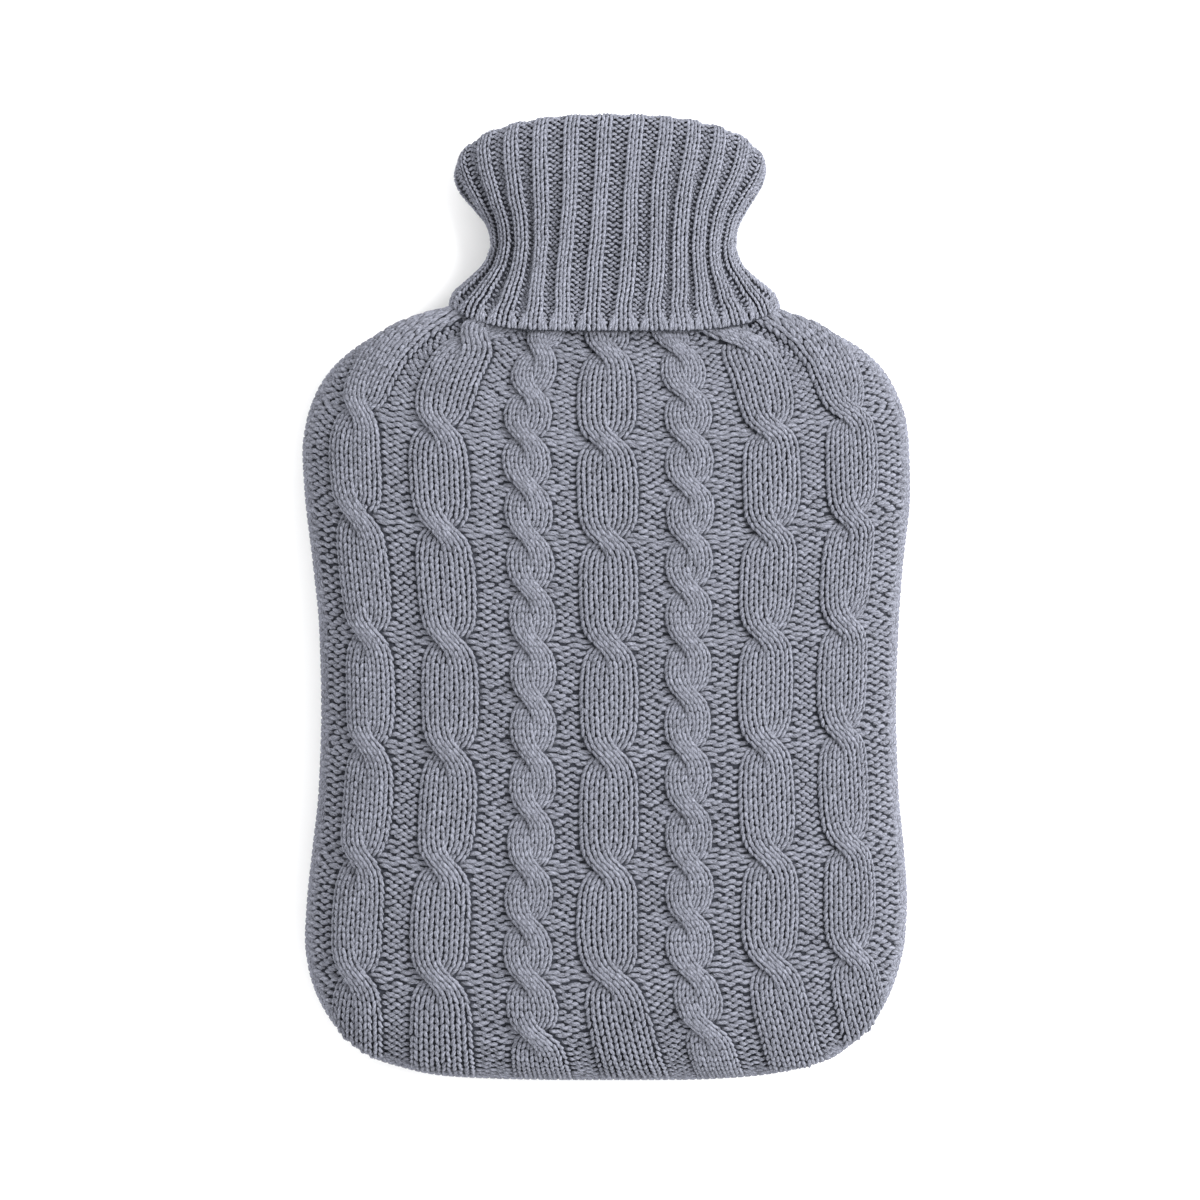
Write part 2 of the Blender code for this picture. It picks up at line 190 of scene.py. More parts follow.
def read(table, key):
    """The columns after the first one at each key, on smooth curves through a table's rows."""
    rows = np.asarray(table, float)
    keys, values = rows[:, 0], rows[:, 1:]
    steps = np.diff(keys)
    slopes = np.diff(values, axis=0) / steps[:, None]
    tangents = np.zeros_like(values)
    same_way = slopes[:-1] * slopes[1:] > 0
    mean = 2 * slopes[:-1] * slopes[1:] / np.where(same_way, slopes[:-1] + slopes[1:], 1)
    tangents[1:-1] = np.where(same_way, mean, 0)
    tangents[0], tangents[-1] = slopes[0], slopes[-1]
    key = np.clip(np.asarray(key, float), keys[0], keys[-1])
    i = np.clip(np.searchsorted(keys, key) - 1, 0, len(steps) - 1)
    t = ((key - keys[i]) / steps[i])[..., None]
    step = steps[i][..., None]
    return np.moveaxis(
        (2 * t**3 - 3 * t**2 + 1) * values[i]
        + (t**3 - 2 * t**2 + t) * step * tangents[i]
        + (3 * t**2 - 2 * t**3) * values[i + 1]
        + (t**3 - t**2) * step * tangents[i + 1],
        -1,
        0,
    )


def smooth_step(low, high, value):
    t = np.clip((value - low) / (high - low), 0.0, 1.0)
    return t * t * (3 - 2 * t)


def running(steps):
    """The sums of the steps so far, starting with 0."""
    return np.concatenate([np.zeros_like(steps[..., :1]), np.cumsum(steps, axis=-1)], axis=-1)


def way_along(x, y):
    """The way from the first of these points to each of them."""
    return running(np.hypot(np.diff(x), np.diff(y)))


def every(*choices):
    """Every combination of these values, as one flat array for each choice."""
    return [values.ravel() for values in np.meshgrid(*choices, indexing="ij")]


def end_share(y, length=END_ROUND):
    """The depth at a y of the rounded end, as a share of that further up."""
    t = np.clip((BOTTOM_Y + length - y) / length, 0.0, 1.0)
    return (1 - t**2.4) ** (1 / 2.2)


def place_across(share, y):
    """The x of a place this share of the way across, from -1 at the left edge to 1."""
    left, right = read(OUTLINE, y)
    return (left + right) / 2 + (right - left) / 2 * share


def share_across(x, y):
    """The opposite of place_across."""
    left, right = read(OUTLINE, y)
    return (x - (left + right) / 2) * 2 / (right - left)


def side_share(s, exponent):
    """The depth at a share across the oval, as a share of that in its middle."""
    return (1 - np.minimum(np.abs(s), 1.0) ** exponent) ** (1 / exponent)


def unit(vectors):
    return vectors / np.maximum(np.linalg.norm(vectors, axis=-1, keepdims=True), 1e-9)


# --- the front: from wales and courses to places ---

# Below this the courses keep their pitch over the rounded end, and the wales their distances.
ROUND_START_Y = -120.0
FRONT_RISE, BACK_RISE = 28.0, 18.0  # how far each panel's middle is from the seam


def round_end(length, rise):
    """The way along a panel's middle line over its rounded end, and the y that it passes."""
    y = np.linspace(ROUND_START_Y, BOTTOM_Y, 400)
    return way_along(y, rise * end_share(y, length)), y


def over_the_end(y, length, rise):
    """Places on the flat knitting, laid over the rounded end. Past the seam they are below it."""
    way, places = round_end(length, rise)
    past = ROUND_START_Y - y
    laid = np.interp(past, way, places)
    return np.where(past > 0, np.where(past > way[-1], BOTTOM_Y - 1 - past, laid), y)


def front_xy(w, course):
    """Where a point of the knitting lies, seen from above."""
    y_middle, lift, tilt = read(COURSES, course)
    y = over_the_end(y_middle + lift * w * w + tilt * w, END_ROUND, FRONT_RISE)
    below = np.maximum(LEAN_START_Y - y, 0.0) / 60.0
    lean = LEAN * smooth_step(-0.65, 0.15, w) * below**2
    return place_across(w, np.maximum(y, ROUND_START_Y)) + lean, y


def front_ground(x, y):
    """The height of the front's ground, and how far across it each point is."""
    top, _, exponent = read(DEPTH, y)
    s = share_across(x, y)
    return SEAM_Z + HALF_GAP + (top - SEAM_Z) * end_share(y) * side_share(s, exponent), s


def panel_surface(ground, direction, x, y):
    """Points of a panel, their outward directions and their shares across.

    direction is 1 for the front and -1 for the back.
    """
    z, s = ground(x, y)
    step = np.clip((1 - np.abs(s)) * 50.0, 0.02, 0.6)  # shorter near the edges
    slope_x = (ground(x + step, y)[0] - ground(x - step, y)[0]) / (2 * step)
    step = np.clip(y - BOTTOM_Y, 0.02, 0.6)
    slope_y = (ground(x, y + step)[0] - ground(x, y - step)[0]) / (2 * step)
    slope_y = np.where(y > NECK_Y - 2, 0.0, slope_y)
    normals = direction * unit(np.stack([-slope_x, -slope_y, np.ones_like(x)], axis=-1))
    return np.stack([x, y, z], axis=-1), normals, s


def crossing(k, course):
    """The course of a cable's nearest crossing."""
    pitch, first = CABLES[k][2:]
    return np.clip(pitch * np.round(course / pitch), first, CROSSINGS_END - pitch)


def widening(k, course):
    """How many times its share of the width a cable keeps at the shoulder."""
    return read(SPREAD, course)[0] ** SPREAD_POWERS[k]


def spread(k, course, w, back=False):
    """Where a place on a cable lies once the cable has kept its width at the shoulder."""
    centre, half = CABLES[k][:2]
    if SPREAD_POWERS[k] == 1.0:  # an outer cable widens from its inner edge
        centre = centre - half * np.sign(centre)
    times = widening(k, course)
    return centre + (w - centre) * (1 / times if back else times)


def hump(away, reach):
    """1 at no distance, falling smoothly to nothing past a reach."""
    return np.exp(-((away / reach) ** 2))


def strand_edges(past, pitch):
    """The left and right edges of a front strand, as shares of the cable's half width."""
    reach = 1.9 if pitch > ROPE_PITCH else 1.7
    side = 0.5 * (np.tanh(past / reach) / math.tanh(pitch / 2 / reach)).clip(-1, 1)
    width = 0.5 + 0.06 * hump(past, 1.6)
    bulge = 1 - 0.09 * (1 - np.abs(past) * 2 / pitch).clip(0, 1) ** 2
    return (side - width) * bulge, (side + width) * bulge


def envelope(past, pitch):
    """A cable's width this many courses past a crossing, as a share of its widest."""
    left, right = strand_edges(past, pitch)
    return np.maximum(-left, right)


def cable_edge(k, course, side):
    """Where the left or right side of a cable lies, as a share of the half width."""
    centre, half, pitch, _ = CABLES[k]
    w = centre + side * half * envelope(course - crossing(k, course), pitch)
    return spread(k, course, w)


def pillow(across, near):
    """The height of a cable's crown."""
    body = np.maximum(0.0, 1 - np.abs(across) ** 3.5) ** 0.6
    return settings().cable_rise / MM * body * (1 - SINK * near)


def ground_relief(w, course):
    """How far the cloth under the stitches rises to fill the cables."""
    height = np.zeros_like(w)
    for k, (centre, half, pitch, _) in enumerate(CABLES):
        past = course - crossing(k, course)
        near = hump(past, NEAR_CROSSING)
        across = (spread(k, course, w, back=True) - centre) / half / envelope(past, pitch)
        height = np.maximum(height, pillow(across, near))
    return height


# --- yarn ---

RING_WAY = np.array([0.0, 0.15, 0.5, 0.85, 1.0])  # a length of yarn: end, three rings, end
RING_SHARE = np.array([0.0, 0.9, 1.0, 0.9, 0.0])
COARSE = [0, 1, 3, 4]  # the rings that are left where few look
COARSE_SHARE = np.array([0.0, 0.96, 0.96, 0.0])
YARN_SIDES = 4


def settings():
    return bpy.context.scene.knit_settings


def mesh_from(bm, name):
    mesh = bpy.data.meshes.new(name)
    bm.to_mesh(mesh)
    bm.free()
    return mesh


def linked(name, data):
    """A new object in the scene."""
    made = bpy.data.objects.new(name, data)
    bpy.context.scene.collection.objects.link(made)
    return made


def places_in(mesh):
    places = np.empty(len(mesh.vertices) * 3)
    mesh.vertices.foreach_get("co", places)
    return places.reshape(-1, 3)


def move_points(mesh, places):
    """Puts a mesh's points at these places, which are in the tables' millimetres."""
    mesh.vertices.foreach_set("co", ((places + SHIFT) * MM).astype(np.float32).ravel())


def sewn_on(piece):
    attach(piece, "root")


def yarn_pieces(name, count, rings):
    """One mesh of this many equal short lengths of yarn, and the ring and angle of each point."""
    bm = bmesh.new()
    bmesh.ops.create_uvsphere(bm, u_segments=YARN_SIDES, v_segments=rings - 1, radius=1.0)
    single = mesh_from(bm, name + "_single")
    places = places_in(single)
    ring = np.round(np.arccos(places[:, 2].clip(-1, 1)) / math.pi * (rings - 1))
    angle = np.arctan2(places[:, 1], places[:, 0])
    holder = linked(name + "_row", single)
    row = holder.modifiers.new("copies", "ARRAY")
    row.count = count
    row.use_relative_offset = False
    row.use_constant_offset = True
    row.constant_offset_displace = (0.0, 0.0, 0.0)
    graph = bpy.context.evaluated_depsgraph_get()
    mesh = bpy.data.meshes.new_from_object(holder.evaluated_get(graph))
    bpy.data.objects.remove(holder)
    bpy.data.meshes.remove(single)
    mesh.name = name
    return mesh, ring.astype(int), angle


def lay_yarn(name, slot, stitches, width=1.0, height=1.0, coarse=False):
    """Makes a piece of lengths of yarn, from their points, outward directions and widths.

    The points and directions hold one row of five for each length. Widths and heights are in
    times the yarn's thickness.
    """
    points, normals, *widths = stitches
    count, ring_share = len(points), RING_SHARE
    if coarse:
        points, normals, ring_share = points[:, COARSE], normals[:, COARSE], COARSE_SHARE
    mesh, ring, angle = yarn_pieces(name, count, len(ring_share))
    along = np.empty_like(points)
    along[:, 1:-1] = points[:, 2:] - points[:, :-2]
    along[:, 0] = points[:, 1] - points[:, 0]
    along[:, -1] = points[:, -1] - points[:, -2]
    along = unit(along)
    side = unit(np.cross(along, normals))
    up = np.cross(side, along)
    share = ring_share[ring][None, :, None]
    kind = "rib_yarn_width" if slot == "rib_knit" else "yarn_width"
    thick = getattr(settings(), kind) / MM
    width = np.broadcast_to(thick * (widths[0] if widths else width), count)[:, None, None]
    height = np.broadcast_to(thick * height, count)[:, None, None]
    corners = points[:, ring] + share / 2 * (
        width * np.cos(angle)[None, :, None] * side[:, ring]
        + height * np.sin(angle)[None, :, None] * up[:, ring]
    )
    move_points(mesh, corners)
    shades = np.random.default_rng(len(name) * 31 + count).uniform(0, 1, count)
    way = running(np.linalg.norm(np.diff(points, axis=1), axis=-1))[:, ring]
    off = np.cos(angle) * ring_share[ring] * width[:, 0] / 2
    strand = np.stack([way, off, np.repeat(shades[:, None] * 90, len(ring), axis=1)], axis=-1)
    for label, kind, key, values in (
        ("stitch_tint", "FLOAT", "value", np.repeat(shades, len(ring))),
        ("strand", "FLOAT_VECTOR", "vector", strand),
    ):
        held = mesh.attributes.new(label, kind, "POINT")
        held.data.foreach_set(key, values.astype(np.float32).ravel())
    mesh.shade_smooth()
    mesh.materials.clear()
    mesh.materials.append(stitch_material(slot))
    mesh.update()
    sewn_on(linked(name, mesh))


def bend(ends, middle):
    """Five values along a length of yarn, on a curve through its ends and middle."""
    t = RING_WAY
    return (
        ends[0] * (1 - t) * (1 - 2 * t) + 4 * middle * t * (1 - t) + ends[1] * t * (2 * t - 1)
    )


# The left and right legs of a knit stitch: across in wales, down in courses, up in millimetres.
LEG_MIDDLE = -0.26
LEG_ACROSS = bend((-0.44, -0.06), LEG_MIDDLE)
LEG_DOWN = bend((0.76, -0.68), 0.02)
LEG_UP = bend((-0.95, 0.0), 0.2)
LEGS = np.array([[LEG_ACROSS, LEG_DOWN, LEG_UP], [-LEG_ACROSS, LEG_DOWN, LEG_UP]])
# One bump of a purl stitch, with its two ends going in.
BUMP_ACROSS = bend((-0.8, 0.8), 0.0)
BUMP_DOWN = bend((0.17, 0.17), -0.04)
BUMP_UP = bend((-0.9, -0.9), 0.4)
BUMP_STAGGER = 0.5  # how much lower, in courses, every other column of bumps lies


def slanted(leg, share):
    """How far across the points of these legs lie when they keep a share of their slant."""
    middle = LEG_MIDDLE * np.where(leg, -1, 1)[:, None]
    return middle + (LEGS[leg][:, 0] - middle) * share


def bump(up_side_down):
    """A purl bump for each column: across, down and up. Every other one arches downwards."""
    turn = np.where(up_side_down, -1.0, 1.0)[:, None]
    return BUMP_ACROSS[None], BUMP_DOWN[None] * turn, BUMP_UP[None]


def uneven(rng, stitches, amount):
    """Small differences from one stitch to the next."""
    return rng.normal(0.0, 1.0, (len(stitches), 1)).clip(-2, 2) * amount * settings().unevenness


# --- the stitches of the front ---

KNIT_COURSES = range(-6, 124)
STRAND_WALES = 3
WITHIN = 0.97  # how far out in its cable a stitch lies at most
CROSSING_REACH = 3.0  # how many courses from a crossing its front strand is lifted
LEG_LEAN, CROSSING_LEAN = 0.68, 0.25  # how much of its lean a leg keeps, and less at a crossing
BACK_STRAND_SINK = 0.6
RIM_HEIGHT = 4.4  # how far from the seam the rim of knit stitches ends and the panel's begin
PURL_WIDTH = 1.15  # in times the yarn's thickness
UNDER_HEM = 7.0  # how far up under the collar's hem the panels' stitches go on
GAP_COLUMNS = (5, 5, 4, 5, 4, 5)  # columns of purl bumps between one cable and the next
MARGIN_COLUMNS = 9  # and those outside each outer cable, as far as there is room for them
PURL_COLUMN = 2.1  # millimetres from one column to the next there
# A crossing pulls the bumps beside it towards itself and flattens them. These are how many courses
# and columns that reaches, and how much it does.
PULL_COURSES, PULL_COLUMNS, PULL = 2.0, 1.3, 0.3
FLAT_COLUMNS, FLAT = 0.8, 0.4


def cable_stitches(k, rng):
    """Points and outward directions of the knit stitches of one cable."""
    centre, half, pitch, _ = CABLES[k]
    stitches = every(KNIT_COURSES, (1, 0), range(STRAND_WALES), (0, 1))
    nearest = crossing(k, stitches[0])
    shown = (stitches[1] == 1) | (np.abs(stitches[0] - nearest) >= 1.0)
    course, front, wale, leg, nearest = (values[shown] for values in (*stitches, nearest))
    shape = LEGS[leg]
    down = course[:, None] + shape[:, 1] + uneven(rng, course, 0.06)
    past = down - nearest[:, None]
    near = hump(past, CROSSING_REACH)
    left, right = strand_edges(past, pitch)
    is_front = (front == 1)[:, None]
    left, right = np.where(is_front, left, -right), np.where(is_front, right, -left)
    at = wale[:, None] + 0.5 + slanted(leg, LEG_LEAN - CROSSING_LEAN * near)
    share = (at + uneven(rng, course, 0.03)) / STRAND_WALES
    across = left + (right - left) * share
    crown = 1 - (2 * share - 1) ** 2
    lift = settings().crossing_rise / MM * near * (0.55 + 0.45 * crown)
    rise = pillow(np.clip(np.abs(across) / envelope(past, pitch), 0, WITHIN), near)
    rise = rise + np.where(is_front, lift, -BACK_STRAND_SINK * near)
    w = spread(k, down, centre + half * across * WITHIN)
    wide = 1 + 0.45 * (widening(k, course) - 1).clip(0, 1.8)
    rise = rise + shape[:, 2] + uneven(rng, course, 0.06)
    return front_points(w, down, rise, wide)


def in_sight(x, y):
    """Whether whole lengths of yarn lie below the collar, or not far up under its hem."""
    return (y < hem_y(x / FALL[0][2], 0.0) + UNDER_HEM).all(axis=1)


def front_points(w, course, rise, wide):
    """Points, outward directions and widths of the lengths of yarn that lie on the front."""
    x, y = front_xy(w, course)
    places, normals, _ = panel_surface(front_ground, 1, x, np.clip(y, BOTTOM_Y, NECK_Y))
    inside = (places[:, 2, 2] > SEAM_Z + RIM_HEIGHT) & (places[..., 2] > SEAM_Z + 1.5).all(axis=1)
    rise = rise * smooth_step(BOTTOM_Y - 2, BOTTOM_Y + 9, y)
    rise = rise * smooth_step(SEAM_Z - 1, SEAM_Z + 12, places[..., 2])
    keep = inside & (y > BOTTOM_Y + 0.1).all(axis=1) & in_sight(x, y)
    return (places + normals * rise[..., None])[keep], normals[keep], wide[keep]


def purl_stitches(left, right, columns, rng):
    """The bumps between two cables, or between one and the edge. None stands for the edge."""
    course, column = every(KNIT_COURSES, range(columns))
    across, sag, up = bump(column % 2 == 1)
    row = course[:, None] + (column % 2)[:, None] * BUMP_STAGGER
    row = row + uneven(rng, course, 0.08)
    at = column[:, None] + 0.5 + across + uneven(rng, course, 0.05)
    flat, shift = 0.0, 0.0
    for k, away in ((left, at), (right, at if left is None else columns - at)):
        if k is not None:
            past = row - crossing(k, row)
            near = hump(past, PULL_COURSES)
            flat = np.maximum(flat, near * hump(away, FLAT_COLUMNS))
            shift = shift + PULL * past * near * hump(away, PULL_COLUMNS)
    down = row + sag * (1 - FLAT * flat) - shift
    rise = up * (1 - FLAT * flat) + uneven(rng, course, 0.07)
    y_middle, lift, _ = read(COURSES, down)
    low, high = read(OUTLINE, y_middle + 0.8 * lift)
    step = PURL_COLUMN * 2 / (high - low)
    if left is None:
        w = cable_edge(right, down, -1) - at * step
    elif right is None:
        w = cable_edge(left, down, 1) + at * step
    else:
        low, high = cable_edge(left, down, 1), cable_edge(right, down, -1)
        w = low + (high - low) * at / columns
    keep = (np.abs(w) < 0.999).all(axis=1)
    return front_points(w[keep], down[keep], rise[keep], np.full(keep.sum(), PURL_WIDTH))


def joined(parts):
    """The arrays of several sets of stitches, put together."""
    return [np.concatenate(together) for together in zip(*parts)]


# --- the back ---

BACK_WALES = 50
BACK_COURSE = 2.45  # millimetres
BACK_TOP_Y = 104.0


def back_ground(x, y):
    """The height of the back, and how far across it each point is."""
    _, underside, exponent = read(DEPTH, y)
    s = share_across(x, y)
    flat = 1 + FLATTENED * smooth_step(NECK_Y, 60.0, y)
    share = side_share(s, exponent) * end_share(y, BACK_END_ROUND) * flat
    return SEAM_Z - HALF_GAP - (SEAM_Z - underside) * np.minimum(share, 1.0), s


def across_the_back():
    """Shares across the back at even distances over its curve."""
    s = np.linspace(-1, 1, 2001)
    z = back_ground(HALF_WIDTH * s, np.full_like(s, -10.0))[0]
    way = way_along(HALF_WIDTH * s, z)
    return way / way[-1], s


def back_points(share, y, rise):
    """Points and outward directions of the lengths of yarn that lie on the back."""
    even, s = across_the_back()
    w = np.interp(share, even, s)
    y = over_the_end(y, BACK_END_ROUND, BACK_RISE)
    x = place_across(w, np.maximum(y, ROUND_START_Y))
    places, normals, s = panel_surface(back_ground, -1, x, np.clip(y, BOTTOM_Y, NECK_Y))
    keep = ((np.abs(s) < 0.999) & (y > BOTTOM_Y + 0.05) & (y < BACK_TOP_Y)).all(axis=1)
    keep &= places[:, 2, 2] < SEAM_Z - RIM_HEIGHT
    return (places + normals * rise[..., None])[keep], normals[keep]


def back_stitches(low_wale, high_wale, rng):
    """The plain knit stitches of the back's wales from one to another."""
    course, wale, leg = every(range(130), range(low_wale, high_wale), (0, 1))
    shape = LEGS[leg]
    down = course[:, None] + shape[:, 1] + uneven(rng, course, 0.06)
    share = (wale[:, None] + 0.5 + shape[:, 0] + uneven(rng, course, 0.03)) / BACK_WALES
    return back_points(share, BACK_TOP_Y - BACK_COURSE * down, shape[:, 2] * 0.6 - 0.75)


# --- the collar ---

AROUND = 480  # points round each ring of the collar's surface
RESTING_Z = 0.45  # where the collar rests, the middle of its yarn lies no lower than this
FALL_ROWS, FOLD_ROWS, INNER_ROWS = 42, 5, 12
ROW_PITCH = 76.0 / FALL_ROWS  # millimetres


def hem_y(x_share, back_share):
    """Where the collar's hem lies."""
    side = (HEM_SIDE_Y - HEM_MIDDLE_Y) * np.minimum(np.abs(x_share), 1.2) ** HEM_EXPONENT
    return HEM_MIDDLE_Y + side + HEM_BACK_LIFT * back_share


def neck_y(x_share, back_share):
    """Where the collar's inner layer meets the panels."""
    return NECK_Y + 0.3 + 0 * x_share


def fold_y(x_share):
    """Where the collar folds over."""
    return FOLD_SIDE_Y + (FOLD_MIDDLE_Y - FOLD_SIDE_Y) * side_share(x_share, FOLD_EXPONENT)


def oval(places, left, right, top, bottom, exponent):
    """Points at these shares of the way round an oval that is widest at the seam."""
    angles = np.linspace(0, 2 * math.pi, 2881)
    sines, cosines = np.sin(angles), np.cos(angles)
    power = 2 / exponent
    x = (left + right) / 2 + (right - left) / 2 * np.sign(sines) * np.abs(sines) ** power
    depth = np.where(cosines > 0, top - SEAM_Z, SEAM_Z - bottom)
    z = SEAM_Z + depth * np.sign(cosines) * np.abs(cosines) ** power
    run = way_along(x, z)
    wanted = places % 1.0 * run[-1]
    return np.interp(wanted, run, x), np.interp(wanted, run, z)


def collar_ring(table, share, inset, low_y, drop=0.0):
    """One ring round the collar, this share of the way up from where low_y puts its foot."""
    middle, half, top, bottom, exponent = read(table, share)
    places = np.arange(AROUND) / AROUND
    edges = (middle - half + inset, middle + half - inset)
    x, z = oval(places, *edges, top - inset, bottom + inset, exponent)
    x_share = (x - middle) / (half - inset)
    low = low_y(x_share, np.maximum(SEAM_Z - z, 0.0) / (SEAM_Z - bottom - inset))
    y = low + (fold_y(x_share) - drop - low) * share
    return np.stack([x, y, z], axis=-1)


def smooth_rows(rings, count):
    """Rings at even distances along smooth curves through these ones."""
    rings = np.asarray(rings)
    way = running(np.linalg.norm(np.diff(rings, axis=0), axis=-1).mean(axis=1))
    table = np.concatenate([way[:, None], rings.reshape(len(rings), -1)], axis=1)
    rows = read(table, np.linspace(0, way[-1], count)).T
    return rows.reshape(count, AROUND, 3), way[-1]


def collar_surface():
    """The collar's outer face from its hem up over the fold, and down inside the mouth."""
    fall = [collar_ring(FALL, share, 0.0, hem_y) for share in np.linspace(0, 0.93, 14)]
    fold = [
        collar_ring(FALL, 0.985, 0.5, hem_y, drop=0.9),
        collar_ring(FALL, 1.0, 1.5, hem_y, drop=0.1),
        collar_ring(FALL, 1.0, 2.9, hem_y, drop=0.0),
        collar_ring(FALL, 1.0, 4.4, hem_y, drop=0.6),
        collar_ring(NECK_LAYER, 1.0, COLLAR_WALL - 0.5, neck_y, drop=3.0),
    ]
    inner = [
        collar_ring(NECK_LAYER, share, COLLAR_WALL, neck_y)
        for share in (0.88, 0.8, 0.7, 0.58, 0.45, 0.3, 0.15, 0.02, -0.1)
    ]
    return smooth_rows(fall + fold + inner, 160)


# Where the dips between the front's ribs lie, in even repeats from the middle of the front.
# Columns: share of the way up, then the eleven dips from left to right.
DIPS = (
    (0.00, -5.03, -3.90, -2.91, -1.98, -1.18, -0.21, 0.72, 1.62, 2.39, 3.21, 4.10),
    (0.10, -4.99, -3.90, -2.94, -2.05, -1.19, -0.18, 0.80, 1.69, 2.48, 3.28, 4.14),
    (0.20, -5.04, -4.04, -3.11, -2.28, -1.28, -0.11, 1.03, 1.95, 2.78, 3.55, 4.31),
    (0.32, -5.08, -4.16, -3.32, -2.46, -1.35, -0.05, 1.23, 2.22, 3.05, 3.81, 4.48),
    (0.44, -5.20, -4.27, -3.42, -2.49, -1.28, 0.05, 1.32, 2.33, 3.19, 3.99, 4.76),
    (0.56, -5.15, -4.26, -3.33, -2.28, -1.10, 0.12, 1.32, 2.37, 3.25, 4.07, 4.93),
    (0.70, -4.95, -4.06, -3.09, -2.03, -0.89, 0.27, 1.32, 2.33, 3.24, 4.15, 4.99),
    (0.85, -4.80, -3.84, -2.86, -1.86, -0.76, 0.33, 1.36, 2.32, 3.24, 4.09, 4.98),
    (1.00, -4.76, -3.76, -2.83, -1.82, -0.74, 0.37, 1.38, 2.32, 3.25, 4.12, 5.05),
)
FIRST_DIP = -4.5  # the number of the leftmost of them, counted so that ribs are whole numbers


def rib_way(place, share):
    """How far round the collar a place lies, with the front's ribs where they were seen."""
    number = (place * RIB_REPEATS - FIRST_DIP) % RIB_REPEATS
    dips = read(DIPS, share)
    dips = np.concatenate([dips, dips[:1] + RIB_REPEATS])
    front = len(dips) - 2
    i = np.minimum(np.floor(number), front).astype(int)
    part = np.where(i < front, number - i, (number - front) / (RIB_REPEATS - front))
    low = np.take_along_axis(dips, i[None], 0)[0]
    high = np.take_along_axis(dips, i[None] + 1, 0)[0]
    return (low + (high - low) * part) / RIB_REPEATS


def collar_points(place, row, rise, surface):
    """Points on the collar. place is the share of the way round and row counts from the hem."""
    rings, way = surface
    total = way / ROW_PITCH
    around = rib_way(place, row / FALL_ROWS) % 1.0 * AROUND
    up = np.clip(row / total * (len(rings) - 1), 0, len(rings) - 1.001)
    places = between(rings, up, around)
    east = between(rings, up, (around + 1.5) % AROUND) - between(rings, up, (around - 1.5) % AROUND)
    high = np.clip(up + 0.7, 0, len(rings) - 1.001)
    low = np.clip(up - 0.7, 0, len(rings) - 1.001)
    north = between(rings, high, around) - between(rings, low, around)
    normals = unit(np.cross(east, north))
    places = places + normals * rise[..., None]
    places[..., 2] = np.maximum(places[..., 2], RESTING_Z)
    return places, normals


def between(rings, up, around):
    """The point between four of the surface's points."""
    i, j = np.floor(up).astype(int), np.floor(around).astype(int)
    a, b = (up - i)[..., None], (around - j)[..., None]
    j, right = j % AROUND, (j + 1) % AROUND
    top = np.minimum(i + 1, len(rings) - 1)
    return (1 - a) * ((1 - b) * rings[i, j] + b * rings[i, right]) + a * (
        (1 - b) * rings[top, j] + b * rings[top, right]
    )


RIB_HALF = 0.245  # half a rib's width, in repeats
DIP_COLUMNS = 4
DIP_WIDTH = 0.98  # of the bumps in the dips, in times the yarn's thickness
HEM_STITCHES = 6 * RIB_REPEATS
# The strands that close each dip above the hem, as shares of the way across the dip. Columns:
# at the hem, at the top, and the row of the top.
CLOSING = ((0.12, -0.06, 3.4), (0.37, 0.1, 2.3), (0.63, 0.9, 2.3), (0.88, 1.06, 3.4))


def rib_side(place, row):
    """How near a place is to the sides of the neck, where the ribs close up, from 0 to 1."""
    from_middle = np.abs((place + 0.25) % 0.5 - 0.25)
    return smooth_step(0.03, 0.13, from_middle) * hump(row - 18.0, 13.0)


def rib_half(place, row):
    """Half a rib's width, in repeats."""
    return RIB_HALF + 0.15 * rib_side(place, row) + 0.05 * hump(row, 9.0)


def rib_relief(place, row):
    """How far a point of the collar stands out, on a rib or in the dip beside it."""
    off = np.abs((place * RIB_REPEATS + 0.5) % 1.0 - 0.5)
    half = rib_half(place, row)
    half = half + (0.5 - half) * smooth_step(4.2, 0.8, row)  # the dips end above the hem
    crown = 1 - 0.2 * (off / half) ** 2
    step = crown * smooth_step(half + 0.1, half - 0.06, off)
    fold = hump(row - FALL_ROWS - 1.5, 6.0)
    side = rib_side(place, row)
    height = settings().rib_rise / MM * (1 + 0.4 * side)
    drawn_in = 1.2 * hump(row, 2.0) + 1.3 * side
    return height * (step - 0.45) * (1 - 0.96 * fold) - 1.0 * fold - drawn_in


def rib_knit(repeats, rows, surface, rng):
    """The knit stitches of the ribs: points, outward directions and widths."""
    repeat, row, wale, leg = every(repeats, rows, (-0.5, 0.5), (0, 1))
    shape = LEGS[leg]
    up = row[:, None] - shape[:, 1] + uneven(rng, row, 0.06)
    leaning = slanted(leg, 0.55) + uneven(rng, row, 0.02)
    across = (wale[:, None] + leaning) * rib_half(repeat[:, None] / RIB_REPEATS, up)
    place = (repeat[:, None] + across) / RIB_REPEATS
    rise = rib_relief(place, up) + shape[:, 2] * 0.65 + uneven(rng, row, 0.05)
    wide = 1.06 + 0.12 * smooth_step(5.0, 1.0, row)
    return *collar_points(place, up, rise, surface), wide


def rib_purl(repeats, rows, surface, rng):
    """The purl bumps of the dips between the ribs."""
    repeat, row, column = every(repeats, rows, range(DIP_COLUMNS))
    across, down, up = bump(column % 2 == 1)
    half = rib_half((repeat + 0.5) / RIB_REPEATS, row)[:, None]
    share = (column[:, None] + 0.5 + across) / DIP_COLUMNS * (1 - 2 * half) + half
    place = (repeat[:, None] + share + uneven(rng, row, 0.01)) / RIB_REPEATS
    height = row[:, None] - down - (column % 2)[:, None] * BUMP_STAGGER
    height = height + uneven(rng, row, 0.07)
    rise = rib_relief(place, height) + up * 0.8 + 0.1 + uneven(rng, row, 0.05)
    return *collar_points(place, height, rise, surface), np.full(len(row), DIP_WIDTH)


